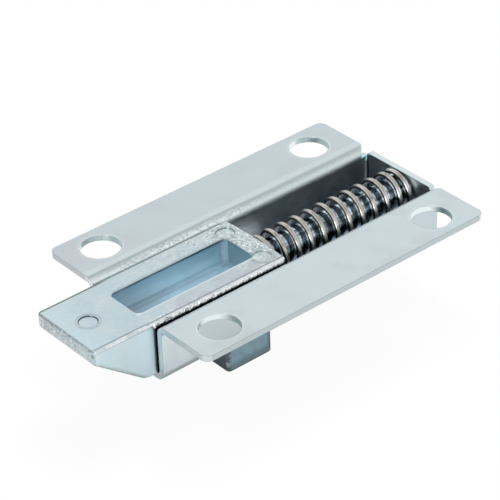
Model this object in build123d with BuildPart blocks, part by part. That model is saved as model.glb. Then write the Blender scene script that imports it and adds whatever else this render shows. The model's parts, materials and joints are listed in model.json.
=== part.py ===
from build123d import *
import math
import os

# Spring bolt: a cast slam bolt that slides in a folded steel housing, pushed out by a coil spring.
# Millimetres. The origin is the centre of the four fixing holes, on the flanges' top face.
# +X runs to the rear (the bolt's nose points along -X), +Z out of the face that meets the panel.

# Housing sheet
sheet = 1.2
bend_inside = 0.9
case_length = 69.2
case_width = 47.1
flange_corner = 1.6

# Fixing holes
hole_diameter = 8.0
hole_from_front = 7.95
hole_from_rear = 8.55
hole_from_edge = 5.85

# Cast bolt
bolt_width = 17.6
bolt_height = 11.0
bolt_below_face = 0.15
nose_reach = 13.6
bolt_inside = 31.8
tip_height = 2.95
nose_bevel_length = 10.4
nose_corner = 0.9
rear_bulge = 0.35
rear_corner = 0.5
bolt_top_edge = 0.45
bevel_edge = 1.0

# Pocket in the bolt's top, where the lock's cam works
pocket_length = 27.75
pocket_width = 8.65
pocket_depth = 5.75
pocket_rear_wall = 4.35
pocket_corner = 1.2
pocket_floor_edge = 0.6
pocket_rim_edge = 0.35

# Shallow round marks that the mould's ejector pins left
ejector_diameter = 3.8
ejector_depth = 0.2
nose_ejector_setback = 5.2
rear_ejector_setback = 3.35
rear_ejector_spread = 10.8

# Release leg under the bolt
leg_length = 11.1
leg_width = 7.25
leg_reach = 12.2
leg_corner = 0.9
leg_tip_edge = 0.45
leg_setback = 0.05

# Running gaps of the bolt in its housing
side_gap = 0.6
floor_gap = 0.2
slot_side_gap = 0.5
slot_end_gap = 0.1

# Guide rod
rod_diameter = 6.8
rod_depth_in_bolt = 4.0
rod_tail = 1.0
rod_chamfer = 0.6
rod_gap = 0.3

# Spring
wire = 1.1
spring_bore_gap = 0.6
spring_pitch = 3.32
closed_turn_gap = 0.1
front_closed_turns = 0.55
rear_closed_turns = 0.7
front_end_angle = 252.0

# Rear tab and the reliefs at its bends
tab_inset = 0.6
tab_side_gap = 0.35
tab_below_face = 0.65
tab_corner = 0.6
bend_notch_length = 1.7
bend_notch_drop = 1.7
floor_slit = 0.35
floor_slit_length = 2.3

# Places along X
hole_spacing_x = case_length - hole_from_front - hole_from_rear
front_x = -hole_spacing_x / 2 - hole_from_front
rear_x = hole_spacing_x / 2 + hole_from_rear
nose_x = front_x - nose_reach
bolt_rear_x = front_x + bolt_inside
travel = nose_reach
pocket_rear_x = bolt_rear_x - pocket_rear_wall
pocket_front_x = pocket_rear_x - pocket_length
leg_rear_x = bolt_rear_x - leg_setback
leg_front_x = leg_rear_x - leg_length
slot_front_x = leg_front_x - slot_end_gap
slot_rear_x = leg_rear_x + travel + slot_end_gap
rod_front_x = bolt_rear_x - rod_depth_in_bolt
tab_inner_x = rear_x - tab_inset
tab_outer_x = tab_inner_x + sheet
spring_front_x = bolt_rear_x + wire / 2
spring_rear_x = tab_inner_x - wire / 2

# Heights
bolt_top = -bolt_below_face
bolt_bottom = bolt_top - bolt_height
axis_z = (bolt_top + bolt_bottom) / 2
floor_top = bolt_bottom - floor_gap
floor_bottom = floor_top - sheet
leg_bottom = floor_bottom - leg_reach

# Widths and radii
hole_spacing_y = case_width - 2 * hole_from_edge
channel_inside = bolt_width + 2 * side_gap
channel_outside = channel_inside + 2 * sheet
tab_width = channel_inside - 2 * tab_side_gap
bend_middle = bend_inside + sheet / 2
bend_strip = sheet + bend_inside
slot_width = leg_width + 2 * slot_side_gap
spring_radius = rod_diameter / 2 + spring_bore_gap + wire / 2
closed_pitch = wire + closed_turn_gap

# Housing: one folded sheet. The hat section runs from flange to flange through both walls and the floor.
with BuildPart() as housing:
    wall_y = (channel_outside - sheet) / 2
    floor_z = floor_top - sheet / 2
    with BuildSketch(Plane.YZ.offset(front_x)):
        with BuildLine():
            FilletPolyline(
                (-case_width / 2, -sheet / 2),
                (-wall_y, -sheet / 2),
                (-wall_y, floor_z),
                (wall_y, floor_z),
                (wall_y, -sheet / 2),
                (case_width / 2, -sheet / 2),
                radius=bend_middle,
            )
        trace(line_width=sheet)
    extrude(amount=case_length)

    # Outer corners of the flanges, the upright edges farthest from the middle
    fillet(housing.edges().filter_by(Axis.Z).sort_by(SortBy.DISTANCE)[-4:], radius=flange_corner)

    # A slanting notch at the rear end of each flange's bend, cut before the sheet was folded: nothing is
    # taken at the flange's flat, and the most at the wall's inner face
    notch_inner_y = channel_inside / 2
    notch_outer_y = notch_inner_y + bend_strip
    for side in (1, -1):
        with BuildSketch(Plane.XY):
            with BuildLine():
                Polyline(
                    (rear_x, side * notch_outer_y),
                    (rear_x - bend_notch_length, side * notch_inner_y),
                    (rear_x, side * notch_inner_y),
                    close=True,
                )
            make_face()
        extrude(amount=-bend_notch_drop, mode=Mode.SUBTRACT)

    # The floor's tongue, slit free of the walls and folded up into the rear tab
    with BuildSketch(Plane.XY.offset(floor_bottom)):
        with Locations((rear_x - floor_slit_length / 2, 0)):
            Rectangle(floor_slit_length, tab_width + 2 * floor_slit)
    extrude(amount=bend_strip, mode=Mode.SUBTRACT)
    with BuildSketch(Plane.XZ.offset(-tab_width / 2)):
        with BuildLine():
            FilletPolyline(
                (rear_x - floor_slit_length, floor_z),
                (tab_inner_x + sheet / 2, floor_z),
                (tab_inner_x + sheet / 2, -tab_below_face),
                radius=bend_middle,
            )
        trace(line_width=sheet)
    extrude(amount=tab_width)
    fillet(housing.edges(Select.LAST).filter_by(Axis.X).sort_by(Axis.Z)[-2:], radius=tab_corner)

    # Clearance hole for the guide rod in the tab
    with BuildSketch(Plane.YZ.offset(tab_inner_x)):
        with Locations((0, axis_z)):
            Circle(rod_diameter / 2 + rod_gap)
    extrude(amount=sheet, mode=Mode.SUBTRACT)

    # Four fixing holes
    with BuildSketch(Plane.XY):
        with GridLocations(hole_spacing_x, hole_spacing_y, 2, 2):
            Circle(hole_diameter / 2)
    extrude(amount=-sheet, mode=Mode.SUBTRACT)

    # Slot in the floor: its front end stops the leg, and so the bolt, at full reach
    with BuildSketch(Plane.XY.offset(floor_bottom)):
        with Locations(((slot_front_x + slot_rear_x) / 2, 0)):
            RectangleRounded(slot_rear_x - slot_front_x, slot_width, leg_corner)
    extrude(amount=sheet, mode=Mode.SUBTRACT)

# Bolt: one casting with the bevelled nose, the cam pocket and the release leg
with BuildPart() as bolt:
    side_y = bolt_width / 2
    with BuildSketch(Plane.XY.offset(bolt_bottom)):
        with BuildLine():
            Polyline(
                (bolt_rear_x - rear_bulge, side_y),
                (nose_x, side_y),
                (nose_x, -side_y),
                (bolt_rear_x - rear_bulge, -side_y),
            )
            ThreePointArc(
                (bolt_rear_x - rear_bulge, -side_y),
                (bolt_rear_x, 0),
                (bolt_rear_x - rear_bulge, side_y),
            )
        make_face()
    extrude(amount=bolt_height)
    upright_edges = bolt.edges().filter_by(Axis.Z).sort_by(Axis.X)
    fillet(upright_edges[:2], radius=nose_corner)
    fillet(upright_edges[2:], radius=rear_corner)

    # Bevel under the nose
    with BuildSketch(Plane.XZ.offset(-side_y)):
        with BuildLine():
            Polyline(
                (nose_x, bolt_top - tip_height),
                (nose_x + nose_bevel_length, bolt_bottom),
                (nose_x, bolt_bottom),
                close=True,
            )
        make_face()
    extrude(amount=bolt_width, mode=Mode.SUBTRACT)
    fillet(bolt.edges(Select.LAST).filter_by(Axis.Y), radius=bevel_edge)

    # Release leg, cast with the bolt
    with BuildSketch(Plane.XY.offset(bolt_bottom)):
        with Locations(((leg_front_x + leg_rear_x) / 2, 0)):
            RectangleRounded(leg_length, leg_width, leg_corner)
    extrude(amount=leg_bottom - bolt_bottom)
    fillet(bolt.faces().sort_by(Axis.Z)[0].edges(), radius=leg_tip_edge)

    # Soft upper edge all round
    fillet(bolt.faces().sort_by(Axis.Z)[-1].edges(), radius=bolt_top_edge)

    # Cam pocket
    with BuildSketch(Plane.XY.offset(bolt_top)):
        with Locations(((pocket_front_x + pocket_rear_x) / 2, 0)):
            RectangleRounded(pocket_length, pocket_width, pocket_corner)
    extrude(amount=-pocket_depth, mode=Mode.SUBTRACT)
    fillet(bolt.faces(Select.LAST).sort_by(Axis.Z)[0].edges(), radius=pocket_floor_edge)
    fillet(bolt.faces().sort_by(Axis.Z)[-1].inner_wires()[0].edges(), radius=pocket_rim_edge)

    # Ejector marks
    with BuildSketch(Plane.XY.offset(bolt_top)):
        with Locations(
            (nose_x + nose_ejector_setback, 0),
            (bolt_rear_x - rear_ejector_setback, rear_ejector_spread / 2),
            (bolt_rear_x - rear_ejector_setback, -rear_ejector_spread / 2),
        ):
            Circle(ejector_diameter / 2)
    extrude(amount=-ejector_depth, mode=Mode.SUBTRACT)

    # Blind bore that holds the guide rod
    with BuildSketch(Plane.YZ.offset(rod_front_x)):
        with Locations((0, axis_z)):
            Circle(rod_diameter / 2)
    extrude(amount=rod_depth_in_bolt, mode=Mode.SUBTRACT)

# Guide rod: fixed in the bolt's bore, it carries the spring and slides through the tab
with BuildPart() as guide_rod:
    with BuildSketch(Plane.YZ.offset(rod_front_x)):
        with Locations((0, axis_z)):
            Circle(rod_diameter / 2)
    extrude(amount=tab_outer_x + rod_tail - rod_front_x)
    chamfer(guide_rod.faces().sort_by(Axis.X)[-1].edges(), length=rod_chamfer)

# Spring: a left-hand compression coil with closed ends, from the bolt's rear to the tab.
# Its centre line is three helices of one radius, each starting where the last one ends.
closed_length = closed_pitch * (front_closed_turns + rear_closed_turns)
active_turns = (spring_rear_x - spring_front_x - closed_length) / spring_pitch
stretches = [
    (closed_pitch, front_closed_turns),
    (spring_pitch, active_turns),
    (closed_pitch, rear_closed_turns),
]
coil_stretches = []
stretch_x = spring_front_x
stretch_angle = front_end_angle
for pitch, turns in stretches:
    spoke = math.radians(stretch_angle)
    start = Plane(
        origin=(stretch_x, 0, axis_z),
        x_dir=(0, math.cos(spoke), math.sin(spoke)),
        z_dir=(1, 0, 0),
    )
    upright_coil = Helix(pitch=pitch, height=pitch * turns, radius=spring_radius, lefthand=True)
    coil_stretches.append(start.location * upright_coil)
    stretch_x += pitch * turns
    stretch_angle -= 360 * turns
coil = Wire(coil_stretches)

with BuildPart() as spring:
    with BuildSketch(Plane(origin=coil @ 0, z_dir=coil % 0)):
        Circle(wire / 2)
    sweep(path=coil, is_frenet=True)

housing.part.label = "housing"
bolt.part.label = "bolt"
guide_rod.part.label = "guide_rod"
spring.part.label = "spring"

os.makedirs("parts", exist_ok=True)
export_step(housing.part, "parts/housing.step")
export_step(bolt.part, "parts/bolt.step")
export_step(guide_rod.part, "parts/guide_rod.step")
export_step(spring.part, "parts/spring.step")
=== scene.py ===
"""Spring bolt, dressed for its portrait: plated sheet, cast bolt, drawn rod and coil spring on white."""
import json
import math

import bpy
import numpy as np
from bpy.props import FloatProperty, FloatVectorProperty, IntProperty, PointerProperty
from mathutils import Matrix, Vector


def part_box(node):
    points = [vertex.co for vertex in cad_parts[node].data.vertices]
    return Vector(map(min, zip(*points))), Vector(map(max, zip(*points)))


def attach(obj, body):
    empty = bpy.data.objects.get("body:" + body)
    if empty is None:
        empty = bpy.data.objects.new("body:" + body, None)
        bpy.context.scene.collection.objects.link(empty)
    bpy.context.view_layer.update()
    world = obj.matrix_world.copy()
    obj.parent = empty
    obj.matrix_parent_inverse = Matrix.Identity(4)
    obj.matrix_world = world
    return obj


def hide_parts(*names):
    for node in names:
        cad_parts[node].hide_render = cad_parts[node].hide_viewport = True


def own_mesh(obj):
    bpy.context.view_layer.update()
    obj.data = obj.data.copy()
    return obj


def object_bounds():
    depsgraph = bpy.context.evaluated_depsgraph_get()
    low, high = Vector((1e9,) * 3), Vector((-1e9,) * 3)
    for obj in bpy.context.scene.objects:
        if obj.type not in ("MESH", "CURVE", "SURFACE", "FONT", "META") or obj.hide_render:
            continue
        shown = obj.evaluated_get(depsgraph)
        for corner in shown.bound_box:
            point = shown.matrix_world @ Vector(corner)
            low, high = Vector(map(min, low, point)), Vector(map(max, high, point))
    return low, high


bl_info = {
    "name": "Spring Bolt",
    "version": (1, 0, 0),
    "blender": (4, 5, 0),
    "location": "View3D > Sidebar > Spring Bolt",
    "description": "Dresses a sprung slam bolt and sets up its studio",
    "category": "Object",
}

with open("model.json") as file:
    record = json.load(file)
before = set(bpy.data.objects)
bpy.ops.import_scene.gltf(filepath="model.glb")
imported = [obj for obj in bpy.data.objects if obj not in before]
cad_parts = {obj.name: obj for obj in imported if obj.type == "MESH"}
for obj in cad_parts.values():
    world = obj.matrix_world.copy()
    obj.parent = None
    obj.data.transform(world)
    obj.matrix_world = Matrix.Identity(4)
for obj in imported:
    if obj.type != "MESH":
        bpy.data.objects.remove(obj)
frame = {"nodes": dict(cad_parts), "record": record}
cad_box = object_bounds()
housing_low, housing_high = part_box("housing")
bolt_low, bolt_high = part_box("bolt")
spring_low, spring_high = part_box("spring")
_, rod_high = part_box("guide_rod")
hole_sizes = frame["record"]["mounts"][0]["dims"]
MM = 0.001
case_front, case_rear, case_bottom = housing_low.x, housing_high.x, housing_low.z
bolt_tip, bolt_rear, bolt_top = bolt_low.x, bolt_high.x, bolt_high.z
sheet_thickness = 1.2 * MM
channel_wall = bolt_high.y + 0.6 * MM
leg_front = bolt_rear - 11.15 * MM
pocket_front = bolt_tip + 13 * MM
pocket_rear = bolt_rear - 4.6 * MM
pocket_side = 4.3 * MM
spring_axis_z = (spring_high.z + spring_low.z) / 2
WIRE_UV = "along_wire"


def colour_setting(name, description, default):
    """A colour that the user can change."""
    return FloatVectorProperty(
        name=name, description=description, subtype="COLOR", size=3, min=0, max=1, default=default)


def share_setting(name, description, default):
    """A number from 0 to 1 that the user can change."""
    return FloatProperty(name=name, description=description, subtype="FACTOR", min=0, max=1, default=default)


def length_setting(name, description, default):
    """A length that the user can change."""
    return FloatProperty(name=name, description=description, unit="LENGTH", default=default)


def place_setting(name, description, default):
    """A point that the user can move."""
    return FloatVectorProperty(
        name=name, description=description, subtype="TRANSLATION", size=3, default=default)


class SheetSettings(bpy.types.PropertyGroup):
    """Finish of the folded housing."""

    colour: colour_setting("Plating", "Colour of the zinc plating", (0.610, 0.690, 0.705))
    tint: colour_setting("Passivation", "Colour of the faint lilac clouds", (0.600, 0.640, 0.680))
    # Painted highlight: the pale colour laid on the bends.
    bend: colour_setting("Bends", "Colour of the plating on the stretched bends", (0.82, 0.89, 0.89))
    # Painted shade for the inside of the channel.
    shade: colour_setting("Channel", "Colour of the oiled inside of the channel", (0.60, 0.66, 0.71))
    roughness: share_setting("Roughness", "Roughness of the plating", 0.30)
    edge: length_setting("Edge radius", "Radius that the light sees on the sheet's cut edges", 0.15 * MM)


class CastingSettings(bpy.types.PropertyGroup):
    """Finish of the cast bolt and sizes of its marks."""

    colour: colour_setting("Plating", "Colour of the plated casting", (0.570, 0.690, 0.735))
    tint: colour_setting("Clouds", "Colour of the paler clouds in the casting's skin", (0.66, 0.75, 0.76))
    rough_tip: colour_setting("Tip", "Colour of the rough face at the bolt's tip", (0.43, 0.49, 0.51))
    grainy: colour_setting("Grainy skin", "Colour of the skin where it is grainy", (0.62, 0.71, 0.70))
    pits: colour_setting("Pits", "Colour of the dark pits in the grainy skin", (0.24, 0.29, 0.29))
    grains: colour_setting("Grains", "Colour of the bright grains in the grainy skin", (0.95, 0.98, 0.98))
    # Painted shade: black for the bolt's sides and rear inside the housing.
    side_shade: colour_setting("Grease", "Colour of the darkened sides in the housing", (0.06, 0.07, 0.08))
    roughness: share_setting("Roughness", "Roughness of the casting's smooth faces", 0.32)
    burr_roughness: share_setting("Burr roughness", "Roughness of the battered edge", 0.36)
    nose_mark: length_setting(
        "Nose mark", "From the bolt's tip to the middle of the front ejector mark", 5.2 * MM)
    rear_marks: length_setting(
        "Rear marks", "From the bolt's rear to the middles of the rear ejector marks", 3.35 * MM)
    marks_apart: length_setting("Marks apart", "Distance between the rear ejector marks", 10.8 * MM)
    mark_radius: length_setting("Mark radius", "Radius of the ejector marks", 1.9 * MM)
    grain: length_setting("Grain", "Width of the grain in the casting's skin", 0.5 * MM)
    burr: length_setting("Burr", "Mean radius of the battered bead along the near top edge", 0.5 * MM)
    edge: length_setting("Edge radius", "Radius that the light sees on the sharp edges", 0.2 * MM)


class RodSettings(bpy.types.PropertyGroup):
    """Finish of the guide rod."""

    colour: colour_setting("Steel", "Colour of the bright drawn rod", (0.64, 0.77, 0.87))
    roughness: share_setting("Roughness", "Roughness of the rod", 0.05)


class SpringSettings(bpy.types.PropertyGroup):
    """Sizes and metal of the coil spring."""

    wire: length_setting("Wire", "Diameter of the spring wire", 1.1 * MM)
    pitch: length_setting("Pitch", "Distance between two working turns", 3.32 * MM)
    closed_pitch: length_setting("Closed pitch", "Distance between two closed turns", 1.2 * MM)
    front_turns: FloatProperty(
        name="Front turns", description="Closed turns against the bolt", default=0.55)
    rear_turns: FloatProperty(
        name="Rear turns", description="Closed turns against the tab", default=0.7)
    front_angle: FloatProperty(
        name="Front end", description="Angle round the rod at which the wire starts, from +Y towards +Z",
        subtype="ANGLE", default=math.radians(252))
    steps_per_turn: IntProperty(
        name="Steps", description="Rings of vertices in one turn", default=96)
    wire_steps: IntProperty(
        name="Sides", description="Vertices in one ring of the wire", default=24)
    colour: colour_setting("Steel", "Colour of the bare spring wire", (0.65, 0.61, 0.55))
    roughness: share_setting("Roughness", "Roughness of the wire", 0.18)


class StageSettings(bpy.types.PropertyGroup):
    """The white table, the lamp and the camera."""

    camera_place: place_setting("Camera", "Where the camera stands", (-0.23955, -0.28899, 0.24684))
    camera_aim: place_setting("Aim", "What the camera looks at", (-0.02958, -0.03107, 0.02460))
    camera_roll: FloatProperty(
        name="Roll", description="How far the camera leans to the right", subtype="ANGLE",
        default=math.radians(2.208))
    camera_lens: FloatProperty(
        name="Lens", description="Focal length on a sensor 36 mm wide", default=169.77)
    floor_drop: length_setting("Table", "Gap between the release leg and the table", 0.2 * MM)
    floor_size: length_setting("Table size", "Side of the square table", 4.0)
    lamp_place: place_setting("Lamp", "Where the overhead soft box hangs", (0.15, 0.0, 0.85))
    lamp_size: length_setting("Lamp size", "Side of the square soft box", 0.4)
    lamp_power: FloatProperty(
        name="Lamp power", description="Power of the overhead soft box in watts", default=7.5)


class BoltSettings(bpy.types.PropertyGroup):
    """Every group of settings in one place."""

    sheet: PointerProperty(type=SheetSettings, name="Sheet", description="Finish of the housing")
    casting: PointerProperty(type=CastingSettings, name="Casting", description="Finish of the bolt")
    rod: PointerProperty(type=RodSettings, name="Rod", description="Finish of the guide rod")
    spring: PointerProperty(type=SpringSettings, name="Spring", description="Sizes and metal of the spring")
    stage: PointerProperty(type=StageSettings, name="Stage", description="Table, lamp and camera")


def settings():
    """All settings of the object, kept on the scene."""
    return bpy.context.scene.spring_bolt


def tinted(colour, red, green, blue):
    """A colour with each channel multiplied by its own factor."""
    return colour[0] * red, colour[1] * green, colour[2] * blue


def scaled(colour, factor):
    """A colour made lighter or darker."""
    return tinted(colour, factor, factor, factor)


def placed(name, data):
    """A new object in the scene."""
    made = bpy.data.objects.new(name, data)
    bpy.context.scene.collection.objects.link(made)
    return made


class Nodes:
    """A node tree under construction."""

    def __init__(self, tree):
        self.tree = tree

    def node(self, kind, inputs=None, **options):
        """A new node with its options set and its inputs linked or filled."""
        made = self.tree.nodes.new(kind)
        for option, value in options.items():
            setattr(made, option, value)
        for key, value in (inputs or {}).items():
            self.feed(made.inputs[key], value)
        return made

    def feed(self, socket, value):
        """Links an output to a socket, or writes a plain value on it."""
        if isinstance(value, bpy.types.NodeSocket):
            self.tree.links.new(value, socket)
        elif hasattr(socket.default_value, "__len__") and len(socket.default_value) == 4:
            socket.default_value = (*value, 1.0)
        else:
            socket.default_value = value

    def math(self, operation, a, b=0.0):
        """One arithmetic step on one or two numbers."""
        return self.node("ShaderNodeMath", {0: a, 1: b}, operation=operation).outputs[0]

    def times(self, first, *others):
        """The product of masks and plain numbers."""
        for other in others:
            first = self.math("MULTIPLY", first, other)
        return first

    def most(self, first, *others):
        """The greatest of several masks."""
        for other in others:
            first = self.math("MAXIMUM", first, other)
        return first

    def vector(self, operation, a, b):
        """One arithmetic step on two vectors that gives a vector."""
        return self.node("ShaderNodeVectorMath", {0: a, 1: b}, operation=operation).outputs["Vector"]

    def measure(self, operation, a, b=(0.0, 0.0, 0.0)):
        """One arithmetic step on one or two vectors that gives a number."""
        return self.node("ShaderNodeVectorMath", {0: a, 1: b}, operation=operation).outputs["Value"]

    def band(self, value, low, high, bottom=0.0, top=1.0):
        """A value that goes smoothly from bottom to top between low and high."""
        inputs = {"Value": value, "From Min": low, "From Max": high, "To Min": bottom, "To Max": top}
        return self.node("ShaderNodeMapRange", inputs, interpolation_type="SMOOTHSTEP").outputs["Result"]

    def between(self, value, low, high, soft):
        """One between two values, falling smoothly to zero outside them."""
        return self.times(self.band(value, low - soft, low), self.band(value, high + soft, high))

    def mix(self, factor, a, b):
        """Two colours mixed by a factor."""
        return self.node("ShaderNodeMix", {0: factor, 6: a, 7: b}, data_type="RGBA").outputs[2]

    def coats(self, colour, *layers):
        """A colour with others laid over it in turn. Each layer is its colour and then its masks, and covers
        where all of them are. A plain number among them is the share that it covers at most."""
        for paint, *masks in layers:
            colour = self.mix(self.times(*masks), colour, paint)
        return colour


class Metal(Nodes):
    """The material of a metal: a Principled shader, the object's own X, Y and Z, and the skin, which is the
    colour painted so far."""

    def __init__(self, name, colour, roughness):
        self.material = bpy.data.materials.new(name)
        self.material.use_nodes = True
        super().__init__(self.material.node_tree)
        self.shader = self.tree.nodes["Principled BSDF"]
        self.shader.inputs["Metallic"].default_value = 1.0
        self.shader.inputs["Roughness"].default_value = roughness
        self.place = self.node("ShaderNodeTexCoord").outputs["Object"]
        self.axes = tuple(self.node("ShaderNodeSeparateXYZ", {0: self.place}).outputs)
        self.skin = colour
        self.softened = None

    def paint(self, colour, *masks):
        """Lays one more colour over the skin, as coats does."""
        self.skin = self.coats(self.skin, (colour, *masks))

    def stretched(self, along, up=1.0):
        """The object's coordinates, with X and Z multiplied by their own factors."""
        return self.vector("MULTIPLY", self.place, (along, 1.0, up))

    def shifted(self, step):
        """The object's coordinates, moved along all three axes, for a second, unlike noise."""
        return self.vector("ADD", self.place, (step, step, step))

    def noise(self, size, detail=2.0, vector=None, roughness=0.5):
        """Noise from 0 to 1 whose clouds are about one size wide."""
        inputs = {"Vector": vector or self.place, "Scale": 1 / size, "Detail": detail, "Roughness": roughness}
        return self.node("ShaderNodeTexNoise", inputs).outputs["Fac"]

    def soften(self, radius):
        """Rounds the sharp edges for the light alone, by a normal averaged within the radius."""
        self.softened = self.node("ShaderNodeBevel", {"Radius": radius}, samples=8).outputs[0]

    def outline(self):
        """A mask of the softened edges, where the averaged normal leans away from the surface's own."""
        own = self.node("ShaderNodeNewGeometry").outputs["Normal"]
        straight, leaning = 0.985, 0.90
        return self.band(self.measure("DOT_PRODUCT", self.softened, own), straight, leaning)

    def finished(self, layers, roughness=None):
        """The material with its skin, its roughness and its bumps in place. Each layer of bumps is a height
        from 0 to 1, its depth and its strength, and lies over the softened edges."""
        self.feed(self.shader.inputs["Base Color"], self.skin)
        if roughness is not None:
            self.feed(self.shader.inputs["Roughness"], roughness)
        normal = self.softened
        for height, depth, strength in layers:
            bump = self.node("ShaderNodeBump", {"Height": height, "Distance": depth, "Strength": strength})
            if normal is not None:
                self.feed(bump.inputs["Normal"], normal)
            normal = bump.outputs[0]
        self.feed(self.shader.inputs["Normal"], normal)
        return self.material


def by_bolt(metal, bottom, top):
    """A value that goes from bottom beside the spring to top beside the bolt."""
    return metal.band(metal.axes[0], bolt_rear + 12 * MM, bolt_rear - 1 * MM, bottom, top)


def sheet_clouds(metal, look):
    """Painted light that makes the near side paler, lilac clouds, and a painted lilac reflection
    on the front of the far flange.
    """
    x, y, _ = metal.axes
    # Painted light: the near side paler than the far side.
    metal.paint(scaled(look.colour, 1.085), metal.band(y, 12 * MM, -12 * MM))
    metal.paint(look.tint, metal.band(metal.noise(9 * MM, 3.0), 0.48, 0.70), 0.6)
    # Painted reflection: lilac on the front of the far flange.
    far_flange = metal.band(y, channel_wall + 3.6 * MM, channel_wall + 6.6 * MM)
    front = metal.band(x, case_front + 12.3 * MM, case_front + 4.3 * MM)
    metal.paint(look.tint, front, far_flange, 0.7)


def sheet_bends(metal, look):
    """Painted highlights: pale streaks on the two bends at the channel's mouth, stronger beside the bolt.
    On the far one the highlight is broken into dull specks and bright glinting specks."""
    x, y, z = metal.axes
    across = metal.math("ABSOLUTE", y)
    streaks = metal.noise(1.2 * MM, 2.0, metal.stretched(0.15))
    bend = metal.times(
        metal.between(across, channel_wall, channel_wall + sheet_thickness, 0.4 * MM),
        metal.band(z, -1.3 * MM, -0.6 * MM),
        by_bolt(metal, 0.25, 1.0),
        metal.band(streaks, 0.35, 0.55, 0.40, 1.0))
    # Painted highlight streaks on the bends.
    metal.paint(look.bend, bend)
    pebbles = metal.noise(0.45 * MM, 3.0, metal.stretched(0.7), roughness=0.6)
    behind_nose = metal.band(x, bolt_tip + 16 * MM, bolt_tip + 24 * MM, 0.25, 1.0)
    glint_specks = metal.times(bend, metal.band(y, 0.0, 5 * MM), behind_nose)
    bright = (0.95, 0.99, 0.99)
    # Dull specks and bright glinting specks in the painted highlight.
    metal.paint(scaled(look.colour, 0.45), glint_specks, metal.band(pebbles, 0.52, 0.60), 0.50)
    metal.paint(bright, glint_specks, metal.band(pebbles, 0.46, 0.38), 0.60)


def sheet_fold(metal, look):
    """Painted shade in the crease where the far flange turns down into its wall, a little further out
    and darker beside the bolt, and a painted highlight line beyond it."""
    y = metal.axes[1]
    highlight_line = metal.between(y, channel_wall + 2.3 * MM, channel_wall + 3.1 * MM, 0.6 * MM)
    crease = metal.math("SUBTRACT", y, by_bolt(metal, 0.0, 0.4 * MM))
    crease_shade = metal.between(crease, channel_wall + 1.3 * MM, channel_wall + 1.5 * MM, 0.45 * MM)
    # Painted shade in the crease, and a painted highlight line beyond it.
    metal.paint(scaled(look.colour, 0.45), crease_shade, by_bolt(metal, 0.18, 0.28))
    metal.paint(look.bend, highlight_line, 0.30)


def sheet_cuts(metal, look):
    """The sheet's cut faces: the flanges' sides a little darker, their front ends darker, most of all the far
    one, and the tab's top paler. A dark outline lies on every sharp edge."""
    x, y, z = metal.axes
    across = metal.math("ABSOLUTE", y)
    sides = metal.band(across, housing_high.y - 0.06 * MM, housing_high.y - 0.02 * MM)
    metal.paint(scaled(look.colour, 0.83), sides)
    front_ends = metal.times(
        metal.band(x, case_front + 0.06 * MM, case_front + 0.02 * MM),
        metal.band(across, channel_wall + 2 * MM, channel_wall + 3 * MM),
        metal.band(y, 0.0, 5 * MM, 0.35, 0.8))
    metal.paint(scaled(look.tint, 0.75), front_ends)
    tab_rim = metal.times(
        metal.band(x, case_rear - 1.25 * MM, case_rear - 1.15 * MM),
        metal.band(across, channel_wall, channel_wall - 0.1 * MM),
        metal.band(z, -1 * MM, -0.9 * MM))
    pale_teal = (0.72, 0.83, 0.84)
    metal.paint(pale_teal, tab_rim)
    metal.soften(look.edge)
    metal.paint(scaled(look.colour, 0.45), metal.outline(), 0.72)


def screw_holes(metal):
    """The four holes: painted light and shade on their walls, nearly white with a dark teal side, and a
    painted highlight as a pale ring round each rim. The distance is taken from the middle of the hole in
    the same quarter of the housing."""
    x, y, _ = metal.axes

    def from_middle(place, spacing):
        return metal.math("SUBTRACT", place, metal.times(metal.math("SIGN", place), spacing * MM / 2))

    away = {0: from_middle(x, hole_sizes["spacing_x_mm"]), 1: from_middle(y, hole_sizes["spacing_y_mm"])}
    local = metal.node("ShaderNodeCombineXYZ", away).outputs[0]
    reach = metal.measure("LENGTH", local)
    radius = hole_sizes["hole_r_mm"] * MM
    wall = metal.times(
        metal.band(reach, radius + 0.06 * MM, radius + 0.02 * MM),
        metal.band(reach, radius - 0.2 * MM, radius - 0.1 * MM))
    # Painted light and shade: the walls near white, dark teal on the side towards dark_side.
    dark_side = (0.92, -0.40, 0.0)
    near_white, dark_teal, pale = (0.82, 0.90, 0.90), (0.36, 0.46, 0.48), (0.85, 0.93, 0.93)
    teal = metal.band(metal.measure("DOT_PRODUCT", local, dark_side), 0.8 * MM, 3.2 * MM)
    metal.paint(metal.mix(teal, near_white, dark_teal), wall)
    # Painted highlight: a pale ring round each rim.
    metal.paint(pale, metal.between(reach, radius + 0.15 * MM, radius + 0.5 * MM, 0.15 * MM), 0.20)


def outer_walls(metal):
    """Painted shade on the outer sides of the channel's walls, under the flanges, a little darker behind
    the front.
    """
    x, y, z = metal.axes
    outer = channel_wall + sheet_thickness
    grey = (0.55, 0.63, 0.66)
    outside = metal.band(metal.math("ABSOLUTE", y), outer - 0.1 * MM, outer)
    behind_front = metal.band(x, case_front + 5.5 * MM, case_front + 9.5 * MM)
    # Painted shade under the flanges.
    metal.paint(grey, outside, metal.band(z, -1.5 * MM, -2.2 * MM), behind_front, 0.9)


def corner_notches(metal):
    """The teal ends of the walls in the notches at the rear corners. Gives their mask."""
    x, y, z = metal.axes
    across = metal.math("ABSOLUTE", y)
    notch = metal.times(
        metal.between(z, -2.7 * MM, -1 * MM, 0.1 * MM),
        metal.band(x, case_rear - 2.5 * MM, case_rear - 2.3 * MM),
        metal.between(across, channel_wall - 0.05 * MM, channel_wall + 1.3 * MM, 0.05 * MM))
    teal = (0.55, 0.82, 0.82)
    metal.paint(teal, notch)
    return notch


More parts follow.
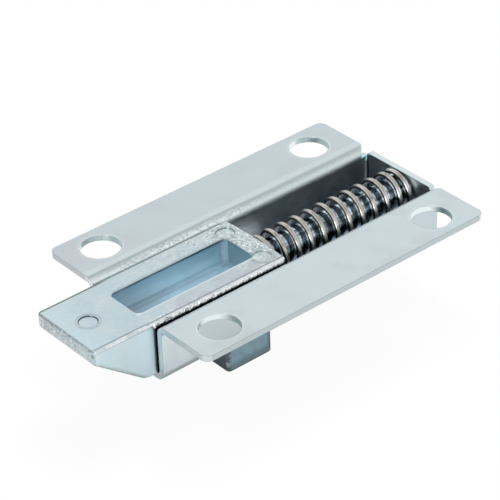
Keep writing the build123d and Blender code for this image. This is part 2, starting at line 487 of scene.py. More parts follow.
def shaded_channel(metal, look, notch):
    """Painted shade inside the channel, from about 2 mm down: blotchy, lighter on the far wall, nearly black
    in the gaps beside the tab, and absent from the tab's rear face and the notches."""
    x, y, z = metal.axes
    across = metal.math("ABSOLUTE", y)
    inside = metal.times(
        metal.band(across, channel_wall + 0.3 * MM, channel_wall + 0.1 * MM),
        metal.band(z, -1.9 * MM, -4.9 * MM),
        metal.band(z, case_bottom + 0.05 * MM, case_bottom + 0.15 * MM))
    wall_ends = metal.times(
        metal.band(across, channel_wall - 0.25 * MM, channel_wall - 0.1 * MM),
        metal.band(x, case_rear - 0.62 * MM, case_rear - 0.64 * MM))
    in_front = metal.most(metal.band(x, case_rear - 1 * MM, case_rear - 1.1 * MM), wall_ends)
    tab_gap = metal.times(
        metal.band(x, case_rear - 1.35 * MM, case_rear - 1.2 * MM),
        metal.between(across, channel_wall - 0.8 * MM, channel_wall + 0.1 * MM, 0.1 * MM))
    shaded = metal.times(
        metal.most(inside, metal.times(tab_gap, metal.band(z, -1.2 * MM, -1.5 * MM))),
        in_front,
        metal.math("SUBTRACT", 1.0, notch))
    # Random blotches in the painted shade, lighter on the far wall.
    smears = metal.times(
        metal.band(metal.noise(2.5 * MM, 3.0), 0.36, 0.66, 0.90, 1.10),
        metal.band(y, channel_wall - 0.3 * MM, channel_wall - 0.1 * MM, 1.0, 1.24))
    shade_colour = metal.node("ShaderNodeVectorMath", {0: look.shade, 3: smears}, operation="SCALE").outputs[0]
    # Painted shade, nearly black in the gaps beside the tab.
    metal.paint(metal.mix(tab_gap, shade_colour, scaled(look.shade, 0.2)), shaded)


def plated_sheet(look):
    """Zinc plated sheet: pale blue grey with lilac clouds, with rolling marks along X."""
    metal = Metal("zinc plated sheet", look.colour, look.roughness)
    sheet_clouds(metal, look)
    sheet_bends(metal, look)
    sheet_fold(metal, look)
    sheet_cuts(metal, look)
    screw_holes(metal)
    outer_walls(metal)
    notch = corner_notches(metal)
    shaded_channel(metal, look, notch)
    grain = metal.noise(0.35 * MM, 2.0)
    rolled = metal.noise(0.25 * MM, 2.0, metal.stretched(0.04))
    spread = 0.10
    rough = metal.math("ADD", metal.times(metal.noise(5 * MM), spread), look.roughness - spread / 2)
    return metal.finished([(rolled, 0.01 * MM, 0.18), (grain, 0.02 * MM, 0.20)], rough)


def grainy_places(metal, face):
    """A mask of the grainy skin on the bolt's top: the rear, patches on the strip beyond the pocket that grow
    to the rear, and the battered strip along the near edge."""
    x, y, _ = metal.axes
    rear = metal.band(x, bolt_rear - 13 * MM, bolt_rear - 3 * MM)
    far_strip = metal.times(
        metal.band(y, pocket_side - 0.1 * MM, pocket_side + 0.7 * MM),
        metal.band(x, bolt_tip + 9 * MM, bolt_tip + 18 * MM),
        metal.band(x, bolt_tip + 12 * MM, bolt_tip + 42 * MM, 0.10, 0.72),
        metal.band(metal.noise(3 * MM, 2.0), 0.40, 0.60, 0.45, 1.0))
    near_strip = metal.times(
        metal.band(y, bolt_low.y + 1.7 * MM, bolt_low.y + 0.9 * MM),
        metal.band(x, case_front - 3 * MM, case_front + 1 * MM),
        metal.band(x, bolt_tip + 30 * MM, bolt_tip + 22 * MM, 0.3, 0.9))
    return metal.times(metal.most(rear, far_strip, near_strip), face)


def rough_tip(metal, look, tip):
    """The rough face at the bolt's tip: blotched, and paler towards the near side by painted light."""
    y = metal.axes[1]
    blotches = metal.noise(1.1 * MM, 3.0, metal.stretched(1.0, 0.6))
    skin = metal.coats(
        look.rough_tip,
        (scaled(look.rough_tip, 1.22), metal.band(blotches, 0.38, 0.60)),
        # Painted light: paler towards the near side.
        (look.colour, metal.band(y, 1 * MM, -5 * MM), 0.4))
    metal.paint(skin, tip)


def torn_tip(metal, look, tip):
    """A torn dark line along the top of the tip, and a dark spot below it on the near side, painted as the
    shade in a dent.
    """
    _, y, z = metal.axes
    wander = metal.times(metal.noise(1 * MM, 2.0, metal.shifted(5 * MM)), 2.2 * MM)
    torn = metal.band(metal.math("ADD", z, wander), bolt_top + 0.7 * MM, bolt_top + 0.95 * MM)
    dark = (0.26, 0.31, 0.33)
    metal.paint(dark, tip, torn, 0.65)
    # Painted shade: a dark spot for a dent below the torn line.
    metal.paint(
        look.pits, tip, metal.between(y, bolt_low.y + 0.5 * MM, bolt_low.y + 1.1 * MM, 0.15 * MM),
        metal.between(z, bolt_top - 1.35 * MM, bolt_top - 0.75 * MM, 0.1 * MM), 0.85)


def top_bloom(metal, look, face):
    """Fine bright dust on the bolt's top, and lilac patches on the near strip beside the pocket."""
    x, y, _ = metal.axes
    dust = metal.band(metal.noise(0.9 * MM, 3.0, metal.shifted(9 * MM)), 0.40, 0.62)
    metal.paint(look.grains, dust, face, 0.10)
    lilac = (0.56, 0.585, 0.625)
    patches = metal.band(metal.noise(3.5 * MM, 2.0), 0.38, 0.60, 0.20, 0.75)
    in_housing = metal.band(x, case_front + 3 * MM, case_front + 9 * MM)
    near_strip = metal.band(y, -pocket_side - 0.5 * MM, -pocket_side - 0.8 * MM)
    metal.paint(lilac, near_strip, in_housing, face, patches)


def near_edge(metal, look, face):
    """The near top edge: a broken white rim painted as a highlight, with a dark line of painted shade
    inside it. Before the housing both lie a little further in. Gives the rim's mask."""
    x, y, z = metal.axes
    inward = metal.band(x, case_front + 1 * MM, case_front - 4 * MM, 0.0, 0.22 * MM)
    inset = metal.math("SUBTRACT", y, inward)
    rim = metal.times(
        metal.band(inset, bolt_low.y + 0.55 * MM, bolt_low.y + 0.42 * MM),
        metal.band(z, bolt_top - 0.45 * MM, bolt_top - 0.3 * MM),
        metal.band(x, bolt_tip + 0.1 * MM, bolt_tip + 0.4 * MM))
    line = metal.times(
        metal.between(inset, bolt_low.y + 0.66 * MM, bolt_low.y + 0.82 * MM, 0.12 * MM),
        metal.band(x, bolt_tip, bolt_tip + 1 * MM),
        face)
    broken = metal.band(metal.noise(1.6 * MM, 3.0, metal.shifted(3 * MM)), 0.40, 0.52, 0.40, 1.0)
    # Painted highlight: the broken white rim. Painted shade: the dark line inside it.
    metal.paint(look.grains, rim, broken)
    metal.paint(look.pits, line, 0.75)
    return rim


def far_edge(metal):
    """The far top edge: dark before the housing, and a thinner dark line in it."""
    x, y, z = metal.axes
    high = metal.band(z, bolt_top - 0.8 * MM, bolt_top - 0.5 * MM)
    entry, settled = case_front, case_front + 3 * MM
    wide = metal.band(y, bolt_high.y - 0.8 * MM, bolt_high.y - 0.62 * MM)
    thin = metal.band(y, bolt_high.y - 0.58 * MM, bolt_high.y - 0.44 * MM)
    olive_black, blue_black = (0.17, 0.20, 0.17), (0.20, 0.25, 0.26)
    metal.paint(olive_black, wide, high, metal.band(x, settled, entry), 0.9)
    # Painted shade: the thin dark line along the gap between the bolt and the far wall.
    metal.paint(blue_black, thin, high, metal.band(x, entry, settled), 0.65)


def lit_side(metal, look):
    """The bolt's near side between its nose and the housing, a little paler."""
    x, y, z = metal.axes
    metal.paint(
        scaled(look.colour, 1.13),
        metal.band(y, bolt_low.y + 0.3 * MM, bolt_low.y + 0.1 * MM),
        metal.band(x, bolt_tip + 4 * MM, case_front - 1 * MM),
        metal.band(x, case_front + 0.2 * MM, case_front - 0.1 * MM),
        metal.band(z, bolt_top - 0.5 * MM, bolt_top - 0.9 * MM))


def mark_distance(metal, look):
    """Distance to the middle of the nearest of the three ejector marks, seen from above."""
    rear = bolt_rear - look.rear_marks
    middles = (
        (bolt_tip + look.nose_mark, 0.0, 0.0),
        (rear, look.marks_apart / 2, 0.0),
        (rear, -look.marks_apart / 2, 0.0),
    )
    flat = metal.stretched(1.0, 0.0)
    first, second, third = (metal.measure("DISTANCE", flat, middle) for middle in middles)
    return metal.math("MINIMUM", metal.math("MINIMUM", first, second), third)


def ejector_marks(metal, look, face):
    """The ejector marks: a faint groove round each, and painted shade on its wall, which is fainter at the
    rear marks and most of all at the near one. Gives the groove's mask."""
    x, y, z = metal.axes
    reach = mark_distance(metal, look)
    radius = look.mark_radius
    groove = metal.between(reach, radius + 0.3 * MM, radius + 0.52 * MM, 0.08 * MM)
    wall = metal.times(
        metal.between(reach, radius - 0.15 * MM, radius + 0.15 * MM, 0.05 * MM),
        metal.between(z, bolt_top - 0.6 * MM, bolt_top - 0.05 * MM, 0.04 * MM))
    strength = metal.most(
        metal.band(y, -1.5 * MM, 1.5 * MM, 0.15, 0.50),
        metal.band(x, bolt_tip + 20 * MM, bolt_tip + 15 * MM))
    metal.paint(look.pits, groove, face, 0.28)
    # Painted shade on the wall of each mark.
    metal.paint(scaled(look.pits, 0.35), wall, strength)
    return groove


def pocket_walls(metal, depth, corner, upright):
    """Steel blue, greyer at the front, with painted light and shade: paler with depth, a dark rim far
    and behind, and darker on the rear wall and in the corners, where it dims their highlights."""
    x, y, _ = metal.axes
    near_rim, far_rim = (0.34, 0.44, 0.50), (0.10, 0.15, 0.18)
    upper_blue, lower_blue, mottled_blue = (0.54, 0.74, 0.84), (0.76, 0.94, 1.00), (0.62, 0.72, 0.82)
    front_grey, low_grey, rear_grey = (0.42, 0.51, 0.62), (0.66, 0.72, 0.76), (0.35, 0.45, 0.48)
    corner_blue, upright_blue = (0.42, 0.54, 0.62), (0.46, 0.56, 0.63)
    front = metal.band(x, bolt_rear - 16 * MM, pocket_front + 1 * MM)
    mottle = metal.band(metal.noise(1.8 * MM, 3.0, metal.stretched(0.5)), 0.42, 0.68)
    far = metal.most(
        metal.band(y, pocket_side - 0.3 * MM, pocket_side - 0.1 * MM),
        metal.band(x, pocket_rear - 0.3 * MM, pocket_rear))
    # Painted light and shade: paler with depth, dark rims far and behind, darker rear wall and corners.
    return metal.coats(
        near_rim,
        (far_rim, far),
        (upper_blue, metal.band(depth, 0.5 * MM, 0.9 * MM)),
        (lower_blue, metal.band(depth, 0.9 * MM, 4.2 * MM)),
        (front_grey, front, 0.35),
        (low_grey, front, metal.band(depth, 2.5 * MM, 5.2 * MM), 0.9),
        (mottled_blue, mottle, 0.45),
        (rear_grey, metal.band(x, pocket_rear - 0.4 * MM, pocket_rear), 0.85),
        (corner_blue, corner, 0.35),
        (upright_blue, upright, 0.40))


def cam_pocket(metal):
    """The pocket in the bolt's top: its blue walls and floor, and a painted highlight as a white rim on the
    near side. Gives a mask of its added roughness, which is above one in the corners."""
    x, y, z = metal.axes
    across = metal.math("ABSOLUTE", y)
    depth = metal.math("SUBTRACT", bolt_top, z)
    inside = metal.times(
        metal.band(across, pocket_side + 0.6 * MM, pocket_side + 0.4 * MM),
        metal.between(x, pocket_front - 5 * MM, pocket_rear + 2.1 * MM, 0.1 * MM),
        metal.band(depth, 0.0, 0.1 * MM),
        metal.band(depth, 8.5 * MM, 8 * MM))
    corner = metal.times(
        metal.band(across, pocket_side - 1.2 * MM, pocket_side - 0.6 * MM),
        metal.between(depth, 5 * MM, 5.9 * MM, 0.3 * MM))
    upright = metal.times(
        metal.band(across, pocket_side - 1.4 * MM, pocket_side - 1 * MM),
        metal.between(x, pocket_rear - 1.2 * MM, pocket_rear - 0.3 * MM, 0.15 * MM))
    walls = pocket_walls(metal, depth, corner, upright)
    metal.paint(walls, inside, metal.band(depth, 0.2 * MM, 0.32 * MM))
    near_rim = metal.times(
        metal.between(y, -pocket_side - 0.5 * MM, -pocket_side - 0.02 * MM, 0.08 * MM),
        metal.between(x, pocket_front, pocket_rear + 0.4 * MM, 0.2 * MM),
        metal.band(depth, 0.4 * MM, 0.3 * MM))
    white = (0.92, 0.98, 0.99)
    # Painted highlight: the white rim on the near side.
    metal.paint(white, near_rim, 0.7)
    in_corners = metal.times(metal.most(corner, metal.times(upright, 0.6)), 2.8)
    return metal.times(inside, metal.math("ADD", in_corners, 1.0))


def release_leg(metal):
    """The leg: mottled slate blue, with painted shade that makes it nearly black on its front face and dark
    on its rear and its lower edges, and a painted highlight as a pale speckled patch beside the front.
    Gives the leg's mask."""
    x, y, z = metal.axes
    foot = bolt_low.z
    leg = metal.band(z, case_bottom, case_bottom - 0.6 * MM)
    light_slate, dark_slate = (0.51, 0.72, 0.82), (0.46, 0.62, 0.70)
    # The shadow and black colours are painted shade, and bare is the colour of a painted highlight.
    shadow, black, bare = (0.15, 0.18, 0.21), (0.04, 0.05, 0.06), (0.80, 0.84, 0.84)
    # Painted shade on the front face, the rear and the lower edges.
    dark = metal.most(
        metal.band(x, leg_front + 1 * MM, leg_front + 0.35 * MM),
        metal.band(x, bolt_rear - 1.6 * MM, bolt_rear - 0.5 * MM, 0.0, 0.7),
        metal.band(z, foot + 0.7 * MM, foot + 0.3 * MM),
        metal.band(z, foot + 2.6 * MM, foot + 0.9 * MM, 0.0, 0.45))
    # Painted highlight: a pale speckled patch beside the front.
    glint_specks = metal.times(
        metal.between(x, leg_front + 0.1 * MM, leg_front + 0.5 * MM, 0.4 * MM),
        metal.band(y, -2.6 * MM, -3.1 * MM),
        metal.band(metal.noise(1 * MM, 3.0), 0.46, 0.62, 0.05, 0.60))
    slate = metal.coats(
        light_slate,
        (dark_slate, metal.band(metal.noise(1.6 * MM, 4.0), 0.40, 0.66)),
        (shadow, dark),
        # Painted shade: a black line along the foot.
        (black, metal.band(z, foot + 0.45 * MM, foot + 0.25 * MM)),
        (bare, glint_specks))
    metal.paint(slate, leg)
    return leg


def shaded_sides(metal, look):
    """Black painted shade on the bolt's sides and rear where they run in the housing."""
    x, y, z = metal.axes
    sides = metal.most(
        metal.band(metal.math("ABSOLUTE", y), bolt_high.y - 0.3 * MM, bolt_high.y - 0.05 * MM),
        metal.band(x, bolt_rear - 0.6 * MM, bolt_rear - 0.4 * MM))
    metal.paint(
        look.side_shade, sides,
        metal.band(z, bolt_top - 0.7 * MM, bolt_top - 1 * MM),
        metal.band(z, case_bottom - 0.2 * MM, case_bottom + 0.8 * MM),
        metal.band(x, case_front - 0.1 * MM, case_front + 0.2 * MM))


def plated_casting(look):
    """Zinc casting. The nose is smooth, with painted light that makes it paler, and the top gets grainy to
    the rear, with dark pits and bright grains. The tip face is rough and speckled. The worn places, the
    pocket and the leg are rougher."""
    metal = Metal("plated zinc casting", look.colour, look.roughness)
    x, _, z = metal.axes
    # Painted light: the nose paler towards the tip.
    metal.paint(scaled(look.colour, 1.11), metal.band(x, bolt_tip + 9 * MM, bolt_tip))
    metal.paint(look.tint, metal.band(metal.noise(6 * MM, 3.0), 0.42, 0.68), 0.7)

    face = metal.band(z, bolt_top - 0.35 * MM, bolt_top - 0.1 * MM)
    tip = metal.band(x, bolt_tip + 0.4 * MM, bolt_tip + 0.15 * MM)
    grainy = grainy_places(metal, face)
    pits = metal.noise(1.3 * look.grain, 3.0, roughness=0.6)
    grains = metal.noise(look.grain, 2.0, metal.shifted(7 * MM), roughness=0.6)
    rough_tip(metal, look, tip)
    speckled = metal.most(grainy, metal.times(tip, 0.42))
    metal.paint(look.grainy, grainy, 0.5)
    metal.paint(look.pits, speckled, metal.band(pits, 0.51, 0.61), 0.70)
    metal.paint(look.grains, speckled, metal.band(grains, 0.52, 0.62), 0.95)
    torn_tip(metal, look, tip)
    top_bloom(metal, look, face)
    rim = near_edge(metal, look, face)
    far_edge(metal)
    lit_side(metal, look)
    groove = ejector_marks(metal, look, face)
    metal.soften(look.edge)
    metal.paint(scaled(look.colour, 0.50), metal.outline(), 0.60)
    pocket = cam_pocket(metal)
    leg = release_leg(metal)
    shaded_sides(metal, look)

    worn = metal.most(rim, tip)
    rougher = metal.times(metal.most(worn, leg, pocket), 0.14)
    dents = metal.noise(0.9 * MM, 3.0, metal.stretched(0.6))
    layers = [
        (grains, 0.04 * MM, 0.12),
        (metal.times(pits, grainy), 0.1 * MM, 0.5),
        (metal.times(dents, worn), 0.35 * MM, 0.6),
        (metal.times(groove, -1.0), 0.06 * MM, 0.5),
    ]
    return metal.finished(layers, metal.math("ADD", rougher, look.roughness))


def drawn_rod(look):
    """Bright drawn rod: smooth steel with dark, greasy smears and faint marks along its length, and a clean
    rear end."""
    metal = Metal("bright drawn rod", look.colour, look.roughness)
    shaft = metal.band(metal.axes[0], rod_high.x - 0.8 * MM, rod_high.x - 0.3 * MM, 1.0, 0.25)
    smears = metal.band(metal.noise(1 * MM, 3.0, metal.stretched(0.12)), 0.36, 0.62)
    metal.paint(scaled(look.colour, 0.20), smears, shaft)
    drawn = metal.noise(0.3 * MM, 2.0, metal.stretched(0.05))
    worn = metal.noise(0.8 * MM, 3.0)
    metal.soften(0.1 * MM)
    return metal.finished([(drawn, 0.01 * MM, 0.15), (worn, 0.03 * MM, 0.35)])


def battered_edge(look):
    """Battered zinc: a white ridge, partly a painted highlight, with some dark pits, more of them to
    the front, and painted shade below it, grey green and then black, where it runs in the housing."""
    metal = Metal("battered zinc edge", look.pits, look.burr_roughness)
    x, _, z = metal.axes
    grey_green, black = (0.40, 0.47, 0.47), (0.10, 0.13, 0.14)
    lumps = metal.noise(1.6 * look.grain, 3.0, metal.stretched(0.6), roughness=0.6)
    more_pits = metal.band(x, bolt_tip + 15 * MM, bolt_tip + 26 * MM, 0.13, -0.04)
    # Partly painted highlight: the white ridge.
    metal.paint(look.grains, metal.band(metal.math("SUBTRACT", lumps, more_pits), 0.28, 0.46))
    # Painted shade below the ridge, grey green and then black.
    metal.paint(grey_green, metal.band(z, bolt_top - 0.6 * MM, bolt_top - 0.9 * MM), 0.8)
    metal.paint(black, metal.band(z, bolt_top - 1.05 * MM, bolt_top - 1.3 * MM))
    metal.soften(0.05 * MM)
    return metal.finished([(lumps, 0.05 * MM, 0.4)])


def spring_wire(look):
    """Bare spring wire: warm grey from lilac to olive, darker where the scale stays, with painted shade on
    both flanks, and drawing marks that follow the wire. The UV gives the run along the wire and the
    height towards +X."""
    lilac, olive = tinted(look.colour, 0.97, 0.96, 1.06), tinted(look.colour, 0.86, 0.91, 0.88)
    metal = Metal("bare spring wire", lilac, look.roughness)
    on_wire = metal.node("ShaderNodeUVMap", uv_map=WIRE_UV).outputs[0]
    height = metal.node("ShaderNodeSeparateXYZ", {0: on_wire}).outputs[1]
    flanks = metal.most(
        metal.band(height, 0.20 * look.wire, 0.36 * look.wire),
        metal.band(height, -0.42 * look.wire, -0.49 * look.wire))
    scale = metal.band(metal.noise(1.5 * MM, 3.0, metal.shifted(4 * MM)), 0.45, 0.75)
    metal.paint(olive, metal.band(metal.noise(2.6 * MM, 3.0), 0.40, 0.60))
    metal.paint(scaled(look.colour, 0.6), scale)
    # Painted shade on both flanks of the wire.
    metal.paint(scaled(look.colour, 0.15), flanks, 0.85)
    streaks = metal.noise(0.25 * MM, 2.0, metal.vector("MULTIPLY", on_wire, (0.15, 1.0, 1.0)))
    spread = 0.12
    rough = metal.math("ADD", metal.times(streaks, spread), look.roughness - spread / 2)
    return metal.finished([(streaks, 0.02 * MM, 0.3)], rough)


def tube_mesh(name, rings, uv_name=None, uv=None):
    """A tube from rings of points (rings, sides, 3): neighbouring rings are joined by quads, and each end
    ring is filled by a fan round its middle point. The UV, where there is one, has a pair for each point."""
    count, sides, _ = rings.shape
    points = rings.reshape(-1, 3)
    side = np.arange(sides)
    beside = (side + 1) % sides
    start = np.arange(count - 1)[:, None] * sides
    quads = np.stack([start + side, start + beside, start + beside + sides, start + side + sides], -1)
    last_ring = (count - 1) * sides
    front_fan = np.stack([beside, side, np.full(sides, len(points))], -1)
    rear_fan = np.stack([last_ring + side, last_ring + beside, np.full(sides, len(points) + 1)], -1)
    faces = quads.reshape(-1, 4).tolist() + front_fan.tolist() + rear_fan.tolist()
    mesh = bpy.data.meshes.new(name)
    mesh.from_pydata(np.concatenate([points, [rings[0].mean(0), rings[-1].mean(0)]]), [], faces)
    mesh.polygons.foreach_set("use_smooth", np.ones(len(mesh.polygons), bool))
    if uv is not None:
        place = np.zeros((len(mesh.vertices), 2), np.float32)
        place[:len(points)] = uv.reshape(-1, 2)
        corner = np.zeros(len(mesh.loops), np.int32)
        mesh.loops.foreach_get("vertex_index", corner)
        layer = mesh.uv_layers.new(name=uv_name)
        layer.data.foreach_set("uv", place[corner].ravel())
    mesh.update()
    return placed(name, mesh)


def coil_line(look):
    """Centre line of the spring wire, left-hand round X, as (points, unit tangents, unit vectors away from
    the coil's axis, run along the wire). The pitch is the closed one at both ends and the full one between,
    with smooth passages. X is the running sum of the pitch, stretched to fill the space between its seats."""
    passage = 0.34
    radius = (spring_high.y - spring_low.y - look.wire) / 2
    length = spring_high.x - spring_low.x - look.wire
    closed = look.closed_pitch * (look.front_turns + look.rear_turns)
    turns = look.front_turns + look.rear_turns + (length - closed) / look.pitch
    turn = np.linspace(0, turns, int(turns * look.steps_per_turn))

    def rise(place):
        u = np.clip((turn - place) / passage + 0.5, 0, 1)
        return u * u * (3 - 2 * u)

    share = rise(look.front_turns) * (1 - rise(turns - look.rear_turns))
    pitch = look.closed_pitch + (look.pitch - look.closed_pitch) * share
    advance = np.concatenate([[0], np.cumsum((pitch[1:] + pitch[:-1]) / 2 * np.diff(turn))])
    x = spring_low.x + look.wire / 2 + advance * length / advance[-1]
    angle = look.front_angle - 2 * math.pi * turn
    outward = np.stack([np.zeros_like(turn), np.cos(angle), np.sin(angle)], -1)
    middle = np.stack([x, np.zeros_like(turn), np.full_like(turn, spring_axis_z)], -1)
    points = middle + radius * outward
    tangents = np.gradient(points, axis=0)
    tangents /= np.linalg.norm(tangents, axis=1)[:, None]
    steps = np.linalg.norm(np.diff(points, axis=0), axis=1)
    return points, tangents, outward, np.concatenate([[0], np.cumsum(steps)])


def make_spring(look):
    """The wire as a round tube: a circle carried along the coil, its spokes the coil's outward direction and
    the direction square to that and to the wire. Both cut ends are rounded over by one smaller ring. The UV
    is the run along the wire and the height of the point towards +X."""
    cut_end = 0.86
    points, tangents, outward, run = coil_line(look)
    outward = outward - (outward * tangents).sum(1)[:, None] * tangents
    outward /= np.linalg.norm(outward, axis=1)[:, None]
    across = np.cross(tangents, outward)
    turn = np.linspace(0, 2 * math.pi, look.wire_steps, endpoint=False)
    circle = np.cos(turn)[:, None] * outward[:, None] + np.sin(turn)[:, None] * across[:, None]
    radius = np.full(len(points), look.wire / 2)
    radius[[0, -1]] *= cut_end
    rings = points[:, None] + radius[:, None, None] * circle
    uv = np.stack(np.broadcast_arrays(run[:, None], np.sin(turn) * look.wire / 2), -1)
    return tube_mesh("coil_spring", rings, WIRE_UV, uv)


def make_burr(look):
    """The battered bead along the bolt's near top edge: a tube along X, a third higher than wide and half
    sunk in the edge. Its radius is a mean plus a sum of waves that run along and round it, and shrinks nearly
    to a point at both ends. Its middle wanders by the first few of these waves."""
    steps, sides, waves, wander_waves = 760, 20, 30, 6
    mean, swing, lowest, highest, tallness = 0.92, 0.09, -1.6, 0.9, 1.3
    middle_y, middle_z = bolt_low.y + 0.24 * MM, bolt_top - 0.64 * MM
    start, end = case_front - 0.6 * MM, bolt_rear - 0.5 * MM
    x = np.linspace(start, end, steps)[:, None]
    turn = np.linspace(0, 2 * math.pi, sides, endpoint=False)[None, :]
    dice = np.random.default_rng(11)
    length = dice.uniform(0.5, 3.2, waves) * MM
    twist = dice.integers(-3, 4, waves)
    phase = dice.uniform(0, 2 * math.pi, waves)
    angle = 2 * math.pi * x[..., None] / length + turn[..., None] * twist + phase
    lumps = np.sin(angle).sum(-1) / math.sqrt(waves / 2)
    few_waves = np.sin(angle[:, 0, :wander_waves]).sum(-1, keepdims=True) / math.sqrt(wander_waves / 2)
    wander = 0.04 * MM * few_waves
    run = (x - start) / (end - start)
    taper = np.clip(np.minimum(run, 1 - run) * 60, 0.05, 1.0)
    radius = look.burr * taper * (mean + swing * np.clip(lumps, lowest, highest))
    y = middle_y + wander + radius * np.cos(turn)
    z = middle_z - wander + tallness * radius * np.sin(turn)
    return tube_mesh("edge_burr", np.stack(np.broadcast_arrays(x, y, z), -1))


class SPRINGBOLT_OT_housing(bpy.types.Operator):
    """Give the folded housing its zinc plating"""

    bl_idname = "springbolt.housing"
    bl_label = "Plate Housing"

    def execute(self, context):
        frame["nodes"]["housing"].material_slots[0].material = plated_sheet(settings().sheet)
        return {"FINISHED"}


class SPRINGBOLT_OT_bolt(bpy.types.Operator):
    """Give the cast bolt its plated, grainy skin"""

    bl_idname = "springbolt.bolt"
    bl_label = "Plate Bolt"

    def execute(self, context):
        frame["nodes"]["bolt"].material_slots[0].material = plated_casting(settings().casting)
        return {"FINISHED"}


class SPRINGBOLT_OT_burr(bpy.types.Operator):
    """Lay the battered bead along the bolt's near top edge"""

    bl_idname = "springbolt.burr"
    bl_label = "Batter Edge"

    def execute(self, context):
        look = settings().casting
        burr = make_burr(look)
        burr.data.materials.append(battered_edge(look))
        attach(burr, "slide")
        return {"FINISHED"}


class SPRINGBOLT_OT_rod(bpy.types.Operator):
    """Give the guide rod its bright steel"""

    bl_idname = "springbolt.rod"
    bl_label = "Polish Rod"

    def execute(self, context):
        frame["nodes"]["guide_rod"].material_slots[0].material = drawn_rod(settings().rod)
        return {"FINISHED"}


class SPRINGBOLT_OT_spring(bpy.types.Operator):
    """Wind the coil spring"""

    bl_idname = "springbolt.spring"
    bl_label = "Wind Spring"

    def execute(self, context):
        look = settings().spring
        spring = make_spring(look)
        spring.data.materials.append(spring_wire(look))
        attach(spring, "case")
        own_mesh(spring)
        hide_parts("spring")
        return {"FINISHED"}


def soft_lamp(look):
    """A square soft box that points at the origin, lights the table and isn't mirrored in the metal."""
    data = bpy.data.lights.new("overhead box", "AREA")
    data.size = look.lamp_size
    data.energy = look.lamp_power
    lamp = placed("overhead box", data)
    lamp.visible_glossy = False
    lamp.location = look.lamp_place
    lamp.rotation_euler = (-Vector(look.lamp_place)).to_track_quat("-Z", "Y").to_euler()


def white_studio():
    """A world that is white to the camera, a tent with a soft box to the metal, and dim to the table, whose
    light comes from the lamp overhead, so that it is dark in the object's shadow. The tent rises from a grey
    horizon to white, and dims again at the top. The soft box is a round glow left of the camera."""
    world = bpy.data.worlds.new("white studio")
    bpy.context.scene.world = world
    world.use_nodes = True
    sky = Nodes(world.node_tree)
    white, dim, glow = (1.0, 1.0, 1.0), (0.30, 0.30, 0.30), (6.0, 6.0, 6.1)
    horizon, tent_wall, tent_top = (0.42, 0.44, 0.47), (0.96, 0.97, 0.98), (0.60, 0.62, 0.64)
    box_place = Vector((-0.93, -0.30, 0.22)).normalized()
    rays = sky.node("ShaderNodeLightPath").outputs
    direction = sky.node("ShaderNodeTexCoord").outputs["Generated"]
    height = sky.node("ShaderNodeSeparateXYZ", {0: direction}).outputs[2]
    towards_box = sky.measure("DOT_PRODUCT", direction, box_place)
    tent = sky.coats(
        horizon,
        (tent_wall, sky.band(height, 0.0, 0.38)),
        (tent_top, sky.band(height, 0.62, 0.95)),
        (glow, sky.band(towards_box, 0.955, 0.985)))
    colour = sky.coats(dim, (tent, rays["Is Glossy Ray"]), (white, rays["Is Camera Ray"]))
    sky.feed(world.node_tree.nodes["Background"].inputs["Color"], colour)


def white_table(size, height):
    """A square table top. To the camera it is mostly its own white, so that only a faint shadow stays."""
    half = size / 2
    mesh = bpy.data.meshes.new("table")
    corners = [(-half, -half, height), (half, -half, height), (half, half, height), (-half, half, height)]
    mesh.from_pydata(corners, [], [(0, 1, 2, 3)])
    table = placed("table", mesh)
    material = bpy.data.materials.new("white table")
    material.use_nodes = True
    top = Nodes(material.node_tree)
    shader = top.tree.nodes["Principled BSDF"]
    shader.inputs["Base Color"].default_value = (0.85, 0.85, 0.85, 1.0)
    shader.inputs["Roughness"].default_value = 0.9
    shader.inputs["Specular IOR Level"].default_value = 0.0
    glow = top.node("ShaderNodeEmission", {"Color": (1.0, 1.0, 1.0)})
    rays = top.node("ShaderNodeLightPath").outputs
    to_camera, to_metal = 0.955, 0.18
    own_light = top.math(
        "ADD", top.times(rays["Is Camera Ray"], to_camera), top.times(rays["Is Glossy Ray"], to_metal))
    mixer = top.node("ShaderNodeMixShader", {0: own_light, 1: shader.outputs[0], 2: glow.outputs[0]})
    top.feed(top.tree.nodes["Material Output"].inputs["Surface"], mixer.outputs[0])
    mesh.materials.append(material)


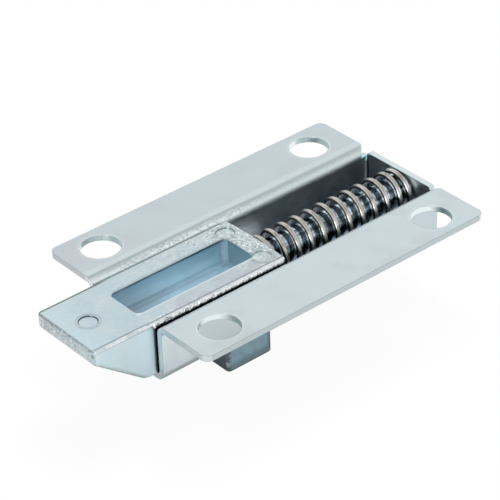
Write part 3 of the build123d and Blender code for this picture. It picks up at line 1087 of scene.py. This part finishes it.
def place_camera(look):
    """A camera at its place that looks at its aim and leans by its roll."""
    data = bpy.data.cameras.new("camera")
    data.lens = look.camera_lens
    data.sensor_width = 36.0
    data.clip_start, data.clip_end = 0.01, 20.0
    camera = placed("camera", data)
    forward = (Vector(look.camera_aim) - Vector(look.camera_place)).normalized()
    right = forward.cross(Vector((0, 0, 1))).normalized()
    up = right.cross(forward) * math.cos(look.camera_roll) + right * math.sin(look.camera_roll)
    right = forward.cross(up)
    turned = Matrix((right, up, -forward)).transposed().to_4x4()
    camera.matrix_world = Matrix.Translation(look.camera_place) @ turned
    bpy.context.scene.camera = camera


class SPRINGBOLT_OT_stage(bpy.types.Operator):
    """Set up the white table, the soft boxes and the camera"""

    bl_idname = "springbolt.stage"
    bl_label = "Set Stage"

    def execute(self, context):
        look = settings().stage
        context.scene.view_settings.view_transform = "Standard"
        place_camera(look)
        white_studio()
        white_table(look.floor_size, cad_box[0].z - look.floor_drop)
        soft_lamp(look)
        return {"FINISHED"}


class SPRINGBOLT_PT_panel(bpy.types.Panel):
    """Lists the steps that dress the spring bolt"""

    bl_idname = "SPRINGBOLT_PT_panel"
    bl_label = "Spring Bolt"
    bl_space_type = "VIEW_3D"
    bl_region_type = "UI"
    bl_category = "Spring Bolt"

    def draw(self, context):
        for step in STEPS:
            self.layout.operator(step.bl_idname)


STEPS = (
    SPRINGBOLT_OT_stage,
    SPRINGBOLT_OT_housing,
    SPRINGBOLT_OT_bolt,
    SPRINGBOLT_OT_burr,
    SPRINGBOLT_OT_rod,
    SPRINGBOLT_OT_spring,
)
SETTINGS = (SheetSettings, CastingSettings, RodSettings, SpringSettings, StageSettings, BoltSettings)
CLASSES = (*SETTINGS, *STEPS, SPRINGBOLT_PT_panel)


def register():
    for entry in CLASSES:
        bpy.utils.register_class(entry)
    bpy.types.Scene.spring_bolt = PointerProperty(type=BoltSettings)


def unregister():
    del bpy.types.Scene.spring_bolt
    for entry in reversed(CLASSES):
        bpy.utils.unregister_class(entry)


def main():
    register()
    bpy.ops.springbolt.stage()
    bpy.ops.springbolt.housing()
    bpy.ops.springbolt.bolt()
    bpy.ops.springbolt.burr()
    bpy.ops.springbolt.rod()
    bpy.ops.springbolt.spring()


if __name__ == "__main__":
    main()
